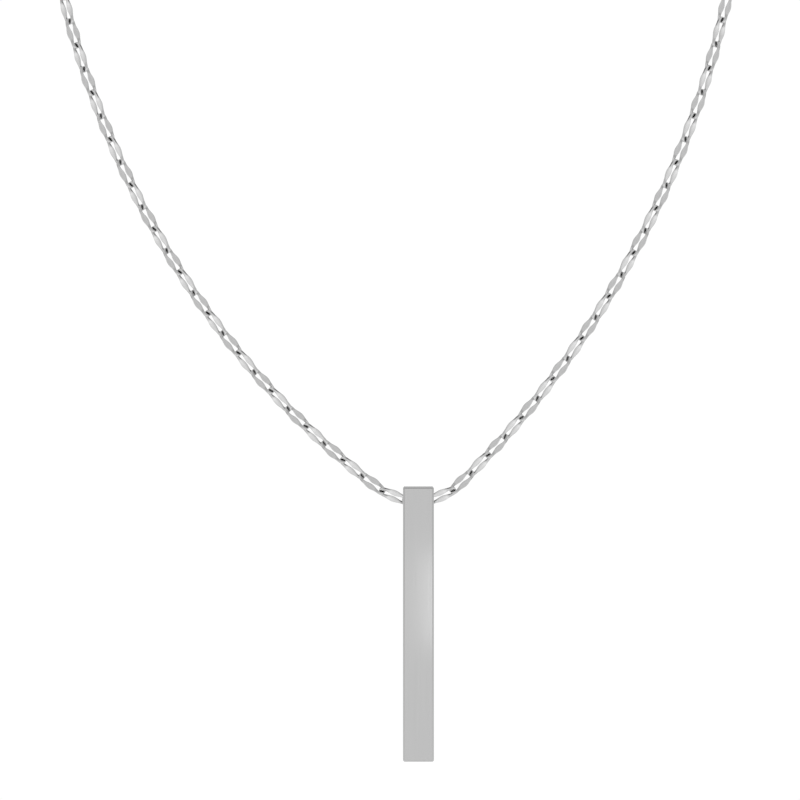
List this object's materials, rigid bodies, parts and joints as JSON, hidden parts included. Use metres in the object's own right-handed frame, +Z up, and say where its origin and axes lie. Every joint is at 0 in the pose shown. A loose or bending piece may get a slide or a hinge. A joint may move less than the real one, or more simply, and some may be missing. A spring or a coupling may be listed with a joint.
{
  "type": "vertical bar pendant necklace",
  "caption": "Square metal bar hanging upright on a fine chain of pressed leaf-sided links, which threads a cross hole near the bar's top and closes at the nape with a plain barrel clasp.",
  "frame": {"origin": "middle of the clasp, where the chain sits on the nape of the neck", "axes": "+Z up as worn, -Y towards the front where the bar hangs, +X to the right of a viewer who faces the bar"},
  "size_m": [0.0961, 0.1115, 0.1361],
  "materials": {
    "bar_silver": "sterling silver, ground flat and softly polished",
    "chain_silver": "sterling silver wire, pressed bright and tumbled",
    "clasp_silver": "sterling silver, turned and polished"
  },
  "bodies": {
    "chain": {"chain_left": "chain_silver", "chain_right": "chain_silver", "clasp": "clasp_silver"},
    "bar": {"bar_pendant": "bar_silver"}
  },
  "joints": [
    {"name": "bar_swing", "type": "hinge", "parent": "chain", "child": "bar", "pos_m": [0.0031, -0.108, -0.1], "axis": [1, 0, 0], "range_deg": [-70, 70]}
  ]
}
